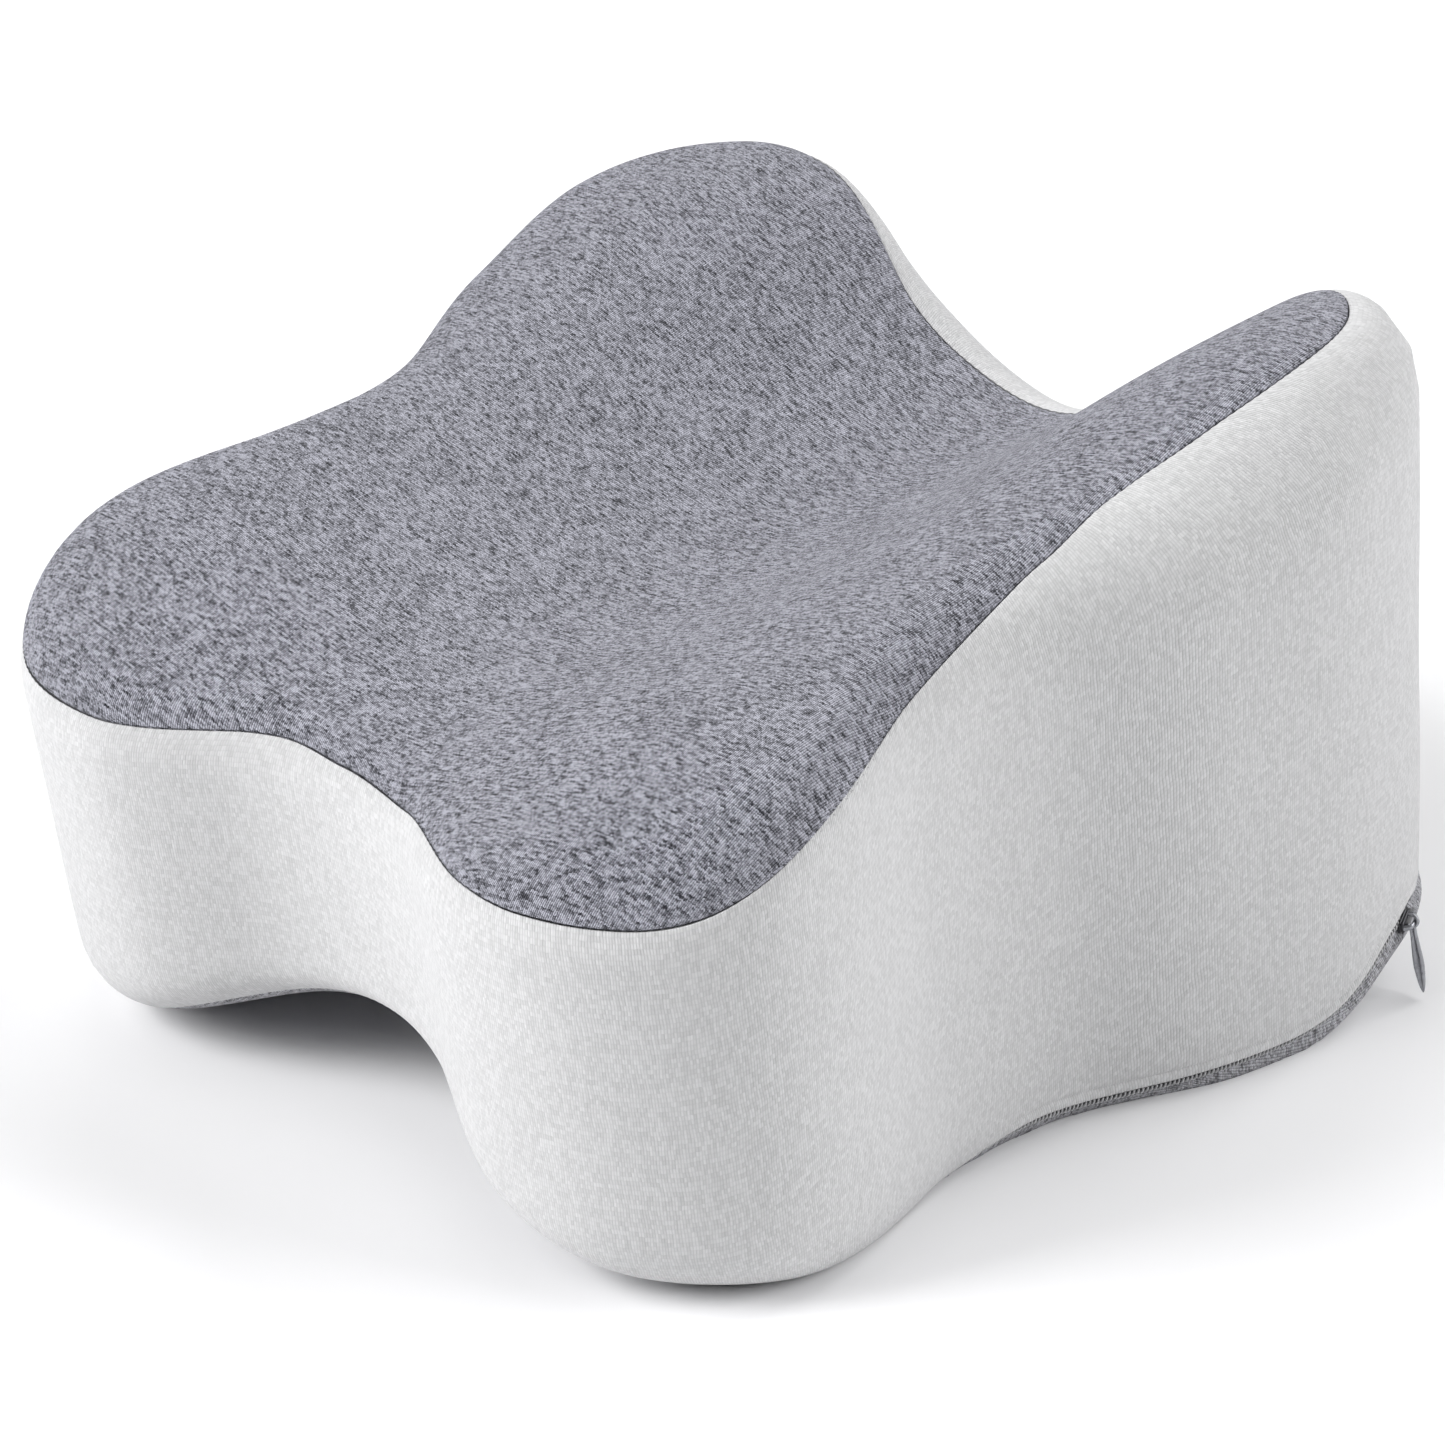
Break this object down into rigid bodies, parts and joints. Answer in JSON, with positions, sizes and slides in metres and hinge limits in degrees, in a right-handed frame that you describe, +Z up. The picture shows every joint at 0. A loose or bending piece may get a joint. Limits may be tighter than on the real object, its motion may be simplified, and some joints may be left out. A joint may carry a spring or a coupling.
{
  "type": "contoured cervical pillow",
  "caption": "Contoured neck pillow with rounded lobes, a lengthwise trough, an arch beneath, a grey knit cover with a white side band, and a zip.",
  "frame": {"origin": "on the floor, under the centre of the whole part's bounding box", "axes": "+Z up; +Y along the trough from the thin end to the thick end; +X towards the side with the zip"},
  "size_m": [0.244, 0.2662, 0.161],
  "materials": {
    "grey_knit": "grey melange jersey knit, matt, with fine slanted wales",
    "white_knit": "off-white knit with fine upright ribs, matt and slightly fuzzy",
    "coil_plastic": "grey woven zip chain, satin",
    "grey_metal": "grey painted die-cast metal, satin"
  },
  "bodies": {
    "root": {"filled_base": "grey_knit", "top_panel": "grey_knit", "side_band": "white_knit", "zip_coil": "coil_plastic", "zip_slider": "grey_metal", "zip_puller": "grey_metal"}
  },
  "joints": []
}
